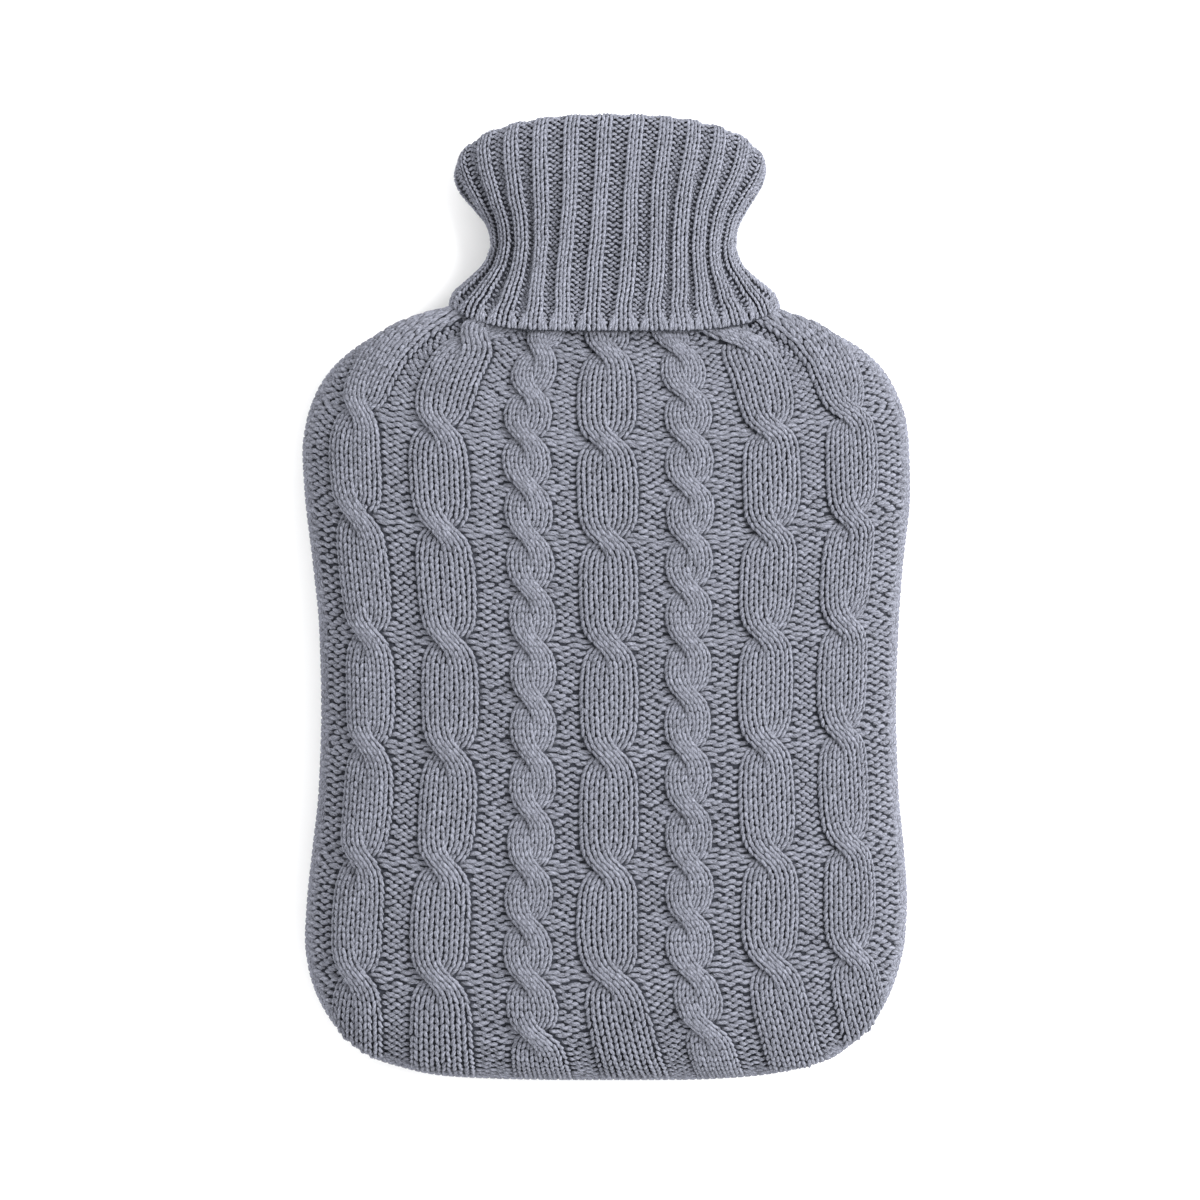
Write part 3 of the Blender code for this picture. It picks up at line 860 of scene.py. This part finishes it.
def hem_edge(surface, rng):
    """The strands that close the dips over the hem, and the cast off chain below them."""
    low, high, top = np.tile(CLOSING, (RIB_REPEATS, 1)).T[..., None]
    repeat = np.repeat(np.arange(RIB_REPEATS), len(CLOSING))[:, None] + 0.0 * low
    way = RING_WAY[None, :] + uneven(rng, low, 0.05)
    row = (top * way).clip(0.0)
    half = rib_half((repeat + 0.5) / RIB_REPEATS, row)
    place = (repeat + half + (1 - 2 * half) * (low + (high - low) * way)) / RIB_REPEATS
    rise = rib_relief(place, row) + bend((-0.5, -0.5), 0.25)[None]
    closing = collar_points(place, row, rise, surface)
    link = np.arange(HEM_STITCHES)
    way = RING_WAY[None, :] * 1.5 - 0.25 + uneven(rng, link, 0.05)
    place, row = (link[:, None] + way) / HEM_STITCHES, 0.35 + 0.3 * way
    rise = rib_relief(place, row) * 0.6 + bend((-1.9, -1.6), -1.2)[None]
    return joined([closing, collar_points(place % 1.0, row, rise, surface)])


def seam_path():
    """The outline of the panels, at even distances from the neck's left round to its right."""
    y = np.linspace(101.0, BOTTOM_Y, 1600)
    left, right = read(OUTLINE, y)
    bottom = np.linspace(left[-1], right[-1], 200)[1:-1]
    x = np.concatenate([left, bottom, right[::-1]])
    y = np.concatenate([y, np.full_like(bottom, BOTTOM_Y), y[::-1]])
    return way_along(x, y), x, y


SEAM_PITCH = 2.45  # from one stitch of the edge to the next
SEAM_WIDTH = 2.6
RIM_WALE = 3.1
RIM_DEPTH = 5.0  # how far inwards from the edge the rim can reach


def along_the_edge(rng, wales):
    """Knit stitches along the edge: their shapes, wales, places on the outline, directions out."""
    way, x, y = seam_path()
    link, wale, leg = every(range(int(way[-1] / SEAM_PITCH)), range(wales), (0, 1))
    shape = LEGS[leg]
    at = (link[:, None] + 0.5 + shape[:, 1] + uneven(rng, link, 0.05)) * SEAM_PITCH
    px, py = np.interp(at, way, x), np.interp(at, way, y)
    ahead = np.interp(at + 2, way, x) - np.interp(at - 2, way, x)
    up = np.interp(at + 2, way, y) - np.interp(at - 2, way, y)
    return shape, wale, px, py, unit(np.stack([up, -ahead], axis=-1))


def seam_stitches(rng):
    """The chain of yarn that joins the front and the back along the cover's edge."""
    shape, _, x, y, out = along_the_edge(rng, 1)
    normals = np.concatenate([out, np.zeros_like(out[..., :1])], axis=-1)
    places = np.stack([x, y, SEAM_Z + shape[:, 0] * SEAM_WIDTH], axis=-1)
    return places + normals * (shape[:, 2] - 0.7)[..., None], normals


def rim_stitches(ground, direction, wales, rng):
    """Knit stitches that climb from the seam over a panel's edge. direction is 1 for the front."""
    shape, wale, x, y, out = along_the_edge(rng, wales)
    climb = (wale[:, None] + 0.55 + shape[:, 0]) * RIM_WALE
    steps = RIM_DEPTH * np.linspace(0, 1, 18) ** 3
    inwards = np.stack([x, y], axis=-1)[..., None, :] - out[..., None, :] * steps[:, None]
    inwards[..., 1] = np.maximum(inwards[..., 1], BOTTOM_Y)
    heights = np.abs(ground(inwards[..., 0], inwards[..., 1])[0] - SEAM_Z)
    runs = running(np.hypot(np.diff(steps), np.diff(heights, axis=-1)))
    depth, height, slope = np.empty_like(climb), np.empty_like(climb), np.empty_like(climb)
    for i, j in np.ndindex(climb.shape):
        depth[i, j], ahead = np.interp((climb[i, j], climb[i, j] + 0.6), runs[i, j], steps)
        height[i, j], above = np.interp((depth[i, j], ahead), steps, heights[i, j])
        slope[i, j] = (above - height[i, j]) / max(ahead - depth[i, j], 0.01)
    flat = out * slope[..., None]
    normals = unit(np.concatenate([flat, np.full_like(flat[..., :1], direction)], axis=-1))
    edge = np.stack([x, y], axis=-1) - out * depth[..., None]
    places = np.concatenate([edge, (SEAM_Z + direction * height)[..., None]], axis=-1)
    rise = shape[:, 2] * 0.8 - 0.2 - 0.17 * wale[:, None]
    keep = in_sight(x, y)
    return (places + normals * rise[..., None])[keep], normals[keep]


# --- materials ---


def add_nodes(tree, *kinds):
    return [tree.nodes.new(kind) for kind in kinds]


def set_inputs(node, values):
    for name, value in values.items():
        node.inputs[name].default_value = value


def yarn_group():
    """The look of spun yarn: fibres that twist round it, soft mottling and a fine fuzz. The twist
    and the fuzz make bumps and also paint highlights and shade into the colour.
    """
    found = bpy.data.node_groups.get("yarn_fibres")
    if found:
        return found
    group = bpy.data.node_groups.new("yarn_fibres", "ShaderNodeTree")
    face = group.interface
    face.new_socket(name="Colour", in_out="INPUT", socket_type="NodeSocketColor")
    for name, value in (
        ("Twist", 0.5), ("Fuzz", 0.5), ("Patches", 0.25), ("Stitches", 0.1),
        ("Fuzz size", 2200.0), ("Patch size", 55.0),
    ):
        socket = face.new_socket(name=name, in_out="INPUT", socket_type="NodeSocketFloat")
        socket.default_value = value
    face.new_socket(name="Colour", in_out="OUTPUT", socket_type="NodeSocketColor")
    face.new_socket(name="Height", in_out="OUTPUT", socket_type="NodeSocketFloat")
    start, end, place, strand, tint = add_nodes(
        group, "NodeGroupInput", "NodeGroupOutput", "ShaderNodeTexCoord",
        "ShaderNodeAttribute", "ShaderNodeAttribute",
    )
    link = group.links.new
    strand.attribute_name, tint.attribute_name = "strand", "stitch_tint"
    turned, fibres, fuzz, patches = add_nodes(
        group, "ShaderNodeMapping", "ShaderNodeTexNoise", "ShaderNodeTexNoise", "ShaderNodeTexNoise"
    )
    turned.vector_type = "TEXTURE"
    set_inputs(turned, {"Rotation": (0.0, 0.0, math.radians(32)), "Scale": (1.8, 0.3, 1.0)})
    link(strand.outputs["Vector"], turned.inputs["Vector"])
    link(turned.outputs["Vector"], fibres.inputs["Vector"])
    fibres.inputs["Scale"].default_value = 1.0
    for noise, name in ((fuzz, "Fuzz size"), (patches, "Patch size")):
        link(place.outputs["Object"], noise.inputs["Vector"])
        link(start.outputs[name], noise.inputs["Scale"])
    for noise in (fibres, fuzz, patches):
        noise.inputs["Detail"].default_value = 3.0

    def adds(total, source, weight):
        """total plus how far the source is from its middle, times the weight."""
        centred, weighed = add_nodes(group, "ShaderNodeMath", "ShaderNodeMath")
        centred.operation, weighed.operation = "SUBTRACT", "MULTIPLY_ADD"
        centred.inputs[1].default_value = 0.5
        link(source.outputs["Fac"], centred.inputs[0])
        link(centred.outputs[0], weighed.inputs[0])
        link(start.outputs[weight], weighed.inputs[1])
        if isinstance(total, float):
            weighed.inputs[2].default_value = total
        else:
            link(total, weighed.inputs[2])
        return weighed.outputs[0]

    # Twist and Fuzz weigh both the bump and the painted highlights and shade in the colour; Patches
    # and Stitches are the yarn's own uneven tone.
    sources = ((fibres, "Twist"), (fuzz, "Fuzz"), (patches, "Patches"), (tint, "Stitches"))
    height, shade = 0.5, 1.0
    for source, weight in sources[:2]:
        height = adds(height, source, weight)
    for source, weight in sources:
        shade = adds(shade, source, weight)
    (mix,) = add_nodes(group, "ShaderNodeVectorMath")
    mix.operation = "SCALE"
    link(start.outputs["Colour"], mix.inputs[0])
    link(shade, mix.inputs["Scale"])
    link(mix.outputs[0], end.inputs["Colour"])
    link(height, end.inputs["Height"])
    return group


def yarn_material(name, colour, sheen=0.25):
    """The material of this name, made at its first use."""
    made = bpy.data.materials.get(name)
    if made:
        return made
    made = bpy.data.materials.new(name)
    made.use_nodes = True
    tree = made.node_tree
    shader = tree.nodes["Principled BSDF"]
    fibres, raised = add_nodes(tree, "ShaderNodeGroup", "ShaderNodeBump")
    fibres.node_tree = yarn_group()
    # Twist and Fuzz set the bump and the painted highlights and shade of the fibres alike.
    set_inputs(fibres, {"Colour": (*colour, 1.0), "Twist": 3.4, "Fuzz": 1.9, "Patches": 0.3})
    set_inputs(
        shader,
        {
            "Roughness": 0.9,
            "Specular IOR Level": 0.25,
            "Sheen Weight": sheen,
            "Sheen Roughness": 0.5,
            "Sheen Tint": (0.8, 0.84, 1.0, 1.0),
        },
    )
    set_inputs(raised, {"Strength": 0.75, "Distance": 0.4 * MM})
    tree.links.new(fibres.outputs["Colour"], shader.inputs["Base Color"])
    tree.links.new(fibres.outputs["Height"], raised.inputs["Height"])
    tree.links.new(raised.outputs["Normal"], shader.inputs["Normal"])
    return made


def stitch_material(slot):
    """The yarn of a slot. The ribs catch more light in the photograph than the panels."""
    brightness = 1.14 if slot == "rib_knit" else 1.0
    return yarn_material(slot + "_yarn", [part * brightness for part in settings().yarn_colour])


# --- sheets ---


FRONT_UNDER, BACK_UNDER = 0.75, 1.25  # how far the panels' cloths lie under their ground
CABLE_FILL = 0.85  # how much of a cable's height the cloth fills
COURSE_HEIGHT = 2.6  # about as high as a course is


def sheet_from(name, slot, across, along, point, thickness):
    """A thin sheet whose grid is placed by a function of its two shares, from 0 to 1."""
    bm = bmesh.new()
    bmesh.ops.create_grid(bm, x_segments=across, y_segments=along, size=1.0)
    mesh = mesh_from(bm, name)
    shares = (places_in(mesh) + 1) / 2
    move_points(mesh, point(shares[:, 0], shares[:, 1]))
    # Painted shade: the cloth gets a near-black copy of the yarn's colour, standing in for the
    # shade deep between the stitches.
    mesh.materials.append(yarn_material(slot + "_painted_shade", settings().painted_shade_colour, sheen=0.0))
    made = linked(name, mesh)
    sewn_on(made)
    bm = bmesh.new()
    bm.from_mesh(mesh)
    bmesh.ops.remove_doubles(bm, verts=bm.verts, dist=1e-6)
    bm.to_mesh(mesh)
    bm.free()
    mesh.shade_smooth()
    wall = made.modifiers.new("thickness", "SOLIDIFY")
    wall.thickness = thickness * MM
    wall.offset = -1.0
    return made


def body_rows(share):
    """The y of each row of a panel's grid, close together where the cover turns in."""
    end = BOTTOM_Y + 24.0 * (1 - np.cos(np.linspace(0, math.pi / 2, 26))) ** 1.4
    body = np.linspace(end[-1], NECK_Y, 100)[1:]
    rows = np.concatenate([end, body])
    return np.interp(share, np.linspace(0, 1, len(rows)), rows)


def fabric_place(x, y):
    """The wale share and course of points of the front, worked out by closing in on them."""
    w = share_across(x, np.maximum(y, ROUND_START_Y))
    course = np.interp(-y, [-110.0, 172.5], [-12.0, 112.0])
    for _ in range(12):
        x_now, y_now = front_xy(np.clip(w, -1.1, 1.1), course)
        w = w + (x - x_now) / HALF_WIDTH
        course = np.clip(course + (y_now - y) / COURSE_HEIGHT, -14.0, 127.0)
    return w, course


def front_sheet_point(across, along):
    """Points of the front's cloth, just under its stitches."""
    y = body_rows(along)
    s = np.sin((across * 2 - 1) * math.pi / 2)
    x = place_across(s, y)
    places, normals, _ = panel_surface(front_ground, 1, x, y)
    w, course = fabric_place(x, y)
    fade = smooth_step(1.0, 0.95, np.abs(s)) * smooth_step(BOTTOM_Y + 1, BOTTOM_Y + 12, y)
    relief = ground_relief(w, course) * fade * CABLE_FILL
    places = places + normals * (relief - FRONT_UNDER)[:, None]
    at_seam = (np.abs(s) > 0.9999) | (y < BOTTOM_Y + 0.01)
    places[at_seam, 2] = SEAM_Z - 0.4  # past the back's edge, so that the seam lets no light in
    return places


def back_sheet_point(across, along):
    """Points of the back's cloth, just under its stitches."""
    y = body_rows(along)
    x = place_across(np.sin((1 - across * 2) * math.pi / 2), y)
    places, normals, _ = panel_surface(back_ground, -1, x, y)
    return places - normals * BACK_UNDER


# --- operators ---


class KNIT_OT_front_stitches(Operator):
    """Knits the cables and the purl ground of the front"""

    bl_idname = "object.knit_front_stitches"
    bl_label = "Front Stitches"

    def execute(self, context):
        rng = np.random.default_rng(11)
        cables = [cable_stitches(k, rng) for k in range(len(CABLES))]
        for name, part in (("left", cables[:3]), ("middle", cables[3:5]), ("right", cables[5:])):
            lay_yarn(f"front_cables_{name}", "cable_knit", joined(part), height=0.95)
        between_cables = [None, *range(len(CABLES)), None]
        columns = (MARGIN_COLUMNS, *GAP_COLUMNS, MARGIN_COLUMNS)
        grounds = [
            purl_stitches(left, right, count, rng)
            for left, right, count in zip(between_cables, between_cables[1:], columns)
        ]
        lay_yarn("front_purl", "cable_knit", joined(grounds))
        lay_yarn("front_rim", "cable_knit", rim_stitches(front_ground, 1, 3, rng), width=1.05)
        lay_yarn("side_seam", "cable_knit", seam_stitches(rng), height=0.9)
        return {"FINISHED"}


class KNIT_OT_front_cloth(Operator):
    """Lays the thin cloth of the front, coloured with painted shade that shows dark between its
    stitches
    """

    bl_idname = "object.knit_front_cloth"
    bl_label = "Front Cloth"

    def execute(self, context):
        cloth = sheet_from("front_cloth", "cable_knit", 110, 130, front_sheet_point, 1.6)
        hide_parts("front_panel")
        return {"FINISHED"}


class KNIT_OT_back(Operator):
    """Knits the plain back, flat where it rests"""

    bl_idname = "object.knit_back"
    bl_label = "Back"

    def execute(self, context):
        rng = np.random.default_rng(12)
        halves = ((0, BACK_WALES // 2), (BACK_WALES // 2, BACK_WALES))
        for name, (low, high) in zip(("left", "right"), halves):
            stitches = back_stitches(low, high, rng)
            lay_yarn(f"back_stitches_{name}", "plain_knit", stitches, width=1.08, coarse=True)
        stitches = rim_stitches(back_ground, -1, 2, rng)
        lay_yarn("back_rim", "plain_knit", stitches, width=1.05, coarse=True)
        # The back's cloth is coloured with the painted shade between its stitches.
        cloth = sheet_from("back_cloth", "plain_knit", 60, 70, back_sheet_point, 1.2)
        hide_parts("back_panel")
        return {"FINISHED"}


class KNIT_OT_collar(Operator):
    """Knits the ribbed collar, its fold and the inside of its mouth"""

    bl_idname = "object.knit_collar"
    bl_label = "Roll Collar"

    def execute(self, context):
        rng = np.random.default_rng(13)
        surface = collar_surface()
        last = FALL_ROWS + FOLD_ROWS + INNER_ROWS
        repeats = np.arange(RIB_REPEATS)
        at_back = (repeats > 6) & (repeats < 18)
        for name, part in (("front", repeats[~at_back]), ("back", repeats[at_back])):
            knit = rib_knit(part, np.arange(0.7, last), surface, rng)
            purl = rib_purl(part, np.arange(2, last), surface, rng)
            lay_yarn(f"collar_ribs_{name}", "rib_knit", joined([knit, purl]))
        lay_yarn("collar_hem", "rib_knit", hem_edge(surface, rng), width=1.2, height=1.2)

        def point(across, along):
            row = along * (surface[1] / ROW_PITCH - 0.2)
            rise = rib_relief(across, row) * 0.9 - 0.85
            return collar_points(across, row, rise, surface)[0]

        # The collar's cloth is coloured with the painted shade between its stitches.
        cloth = sheet_from("collar_cloth", "rib_knit", RIB_REPEATS * 6, 50, point, 0.8)
        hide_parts("roll_collar")
        return {"FINISHED"}


class KNIT_OT_stage(Operator):
    """Sets the pale floor, the soft light and the camera straight above the front"""

    bl_idname = "object.knit_stage"
    bl_label = "Stage"

    def execute(self, context):
        stage = context.scene.stage_settings
        bm = bmesh.new()
        bmesh.ops.create_grid(bm, x_segments=1, y_segments=1, size=6.0)
        mesh = mesh_from(bm, "floor")
        floor = linked("floor", mesh)
        paint = bpy.data.materials.new("floor_paper")
        paint.use_nodes = True
        set_inputs(
            paint.node_tree.nodes["Principled BSDF"],
            {
                "Base Color": (*stage.floor_colour, 1.0),
                "Roughness": 0.9,
                "Specular IOR Level": 0.1,
            },
        )
        mesh.materials.append(paint)

        world = bpy.data.worlds.new("studio")
        world.use_nodes = True
        sky = world.node_tree.nodes["Background"]
        set_inputs(sky, {"Color": (1.0, 1.0, 1.0, 1.0), "Strength": stage.fill_light})
        context.scene.world = world
        for name, place, size, power in (
            ("key", (1.15, 0.35, 1.4), 1.1, stage.key_light),
            ("left", (-1.3, -0.2, 1.4), 1.2, stage.key_light * 0.08),
        ):
            lamp = bpy.data.lights.new(name, "AREA")
            lamp.energy, lamp.size = power, size
            made = linked(name, lamp)
            made.location = place
            made.rotation_euler = (-made.location).to_track_quat("-Z", "Y").to_euler()

        lens = bpy.data.cameras.new("camera")
        lens.sensor_width = 36.0
        above_front = stage.camera_height - 0.03
        lens.lens = lens.sensor_width * above_front / stage.view_width
        lens.clip_end = 20.0
        camera = linked("camera", lens)
        camera.location = (-0.0023, -0.0009, stage.camera_height)  # over the photo's middle
        context.scene.camera = camera
        context.scene.view_settings.view_transform = "Standard"
        return {"FINISHED"}


# --- settings and panel ---


class KnitSettings(PropertyGroup):
    """Sizes and colours of the yarn and of the raised parts"""

    yarn_colour: FloatVectorProperty(
        name="Yarn colour", description="Colour of the yarn", default=(0.153, 0.158, 0.189),
        subtype="COLOR", min=0.0, max=1.0,
    )
    # Painted shade: the dark colour of the cloths under the stitches stands in for the shade deep
    # between them, not a colour of the yarn.
    painted_shade_colour: FloatVectorProperty(
        name="Hollow colour", description="Colour of the yarn deep between the stitches",
        default=(0.024, 0.026, 0.035), subtype="COLOR", min=0.0, max=1.0,
    )
    yarn_width: FloatProperty(
        name="Yarn width", description="Thickness of the yarn on the panels",
        default=1.42 * MM, unit="LENGTH",
    )
    rib_yarn_width: FloatProperty(
        name="Rib yarn width", description="Thickness of the yarn where the ribs draw it in",
        default=1.12 * MM, unit="LENGTH",
    )
    cable_rise: FloatProperty(
        name="Cable rise", description="How far the cables stand above the ground",
        default=2.7 * MM, unit="LENGTH",
    )
    crossing_rise: FloatProperty(
        name="Crossing rise", description="How far a front strand lifts where it crosses",
        default=2.8 * MM, unit="LENGTH",
    )
    rib_rise: FloatProperty(
        name="Rib rise", description="How far the collar's ribs stand above the dips",
        default=2.3 * MM, unit="LENGTH",
    )
    unevenness: FloatProperty(
        name="Unevenness", description="How much one stitch differs from the next",
        default=1.0, subtype="FACTOR",
    )


class StageSettings(PropertyGroup):
    """The floor, the light and the camera"""

    floor_colour: FloatVectorProperty(
        name="Floor colour", description="Colour of the floor", default=(0.93, 0.93, 0.93),
        subtype="COLOR", min=0.0, max=1.0,
    )
    key_light: FloatProperty(
        name="Key light", description="Power of the large soft light", default=67.0, unit="POWER"
    )
    fill_light: FloatProperty(
        name="Fill light", description="Strength of the light from all round", default=1.45
    )
    camera_height: FloatProperty(
        name="Camera height", description="Height of the camera", default=3.0, unit="LENGTH"
    )
    view_width: FloatProperty(
        name="View width", description="Width of what the camera sees", default=0.4254,
        unit="LENGTH",
    )


OPERATORS = (
    KNIT_OT_front_stitches,
    KNIT_OT_front_cloth,
    KNIT_OT_back,
    KNIT_OT_collar,
    KNIT_OT_stage,
)


class KNIT_PT_panel(Panel):
    """Lists the settings and the pieces of the cover"""

    bl_idname = "KNIT_PT_panel"
    bl_label = "Knitted Cover"
    bl_space_type = "VIEW_3D"
    bl_region_type = "UI"
    bl_category = "Cover"

    def draw(self, context):
        for group in (context.scene.knit_settings, context.scene.stage_settings):
            box = self.layout.box()
            for name in group.__annotations__:
                box.prop(group, name)
        for operator in OPERATORS:
            self.layout.operator(operator.bl_idname)


CLASSES = (KnitSettings, StageSettings, *OPERATORS, KNIT_PT_panel)


def register():
    for each in CLASSES:
        bpy.utils.register_class(each)
    bpy.types.Scene.knit_settings = PointerProperty(type=KnitSettings)
    bpy.types.Scene.stage_settings = PointerProperty(type=StageSettings)


def unregister():
    del bpy.types.Scene.stage_settings
    del bpy.types.Scene.knit_settings
    for each in reversed(CLASSES):
        bpy.utils.unregister_class(each)


def main():
    register()
    bpy.ops.object.knit_front_stitches()
    bpy.ops.object.knit_back()
    bpy.ops.object.knit_front_cloth()
    bpy.ops.object.knit_collar()
    bpy.ops.object.knit_stage()


if __name__ == "__main__":
    main()
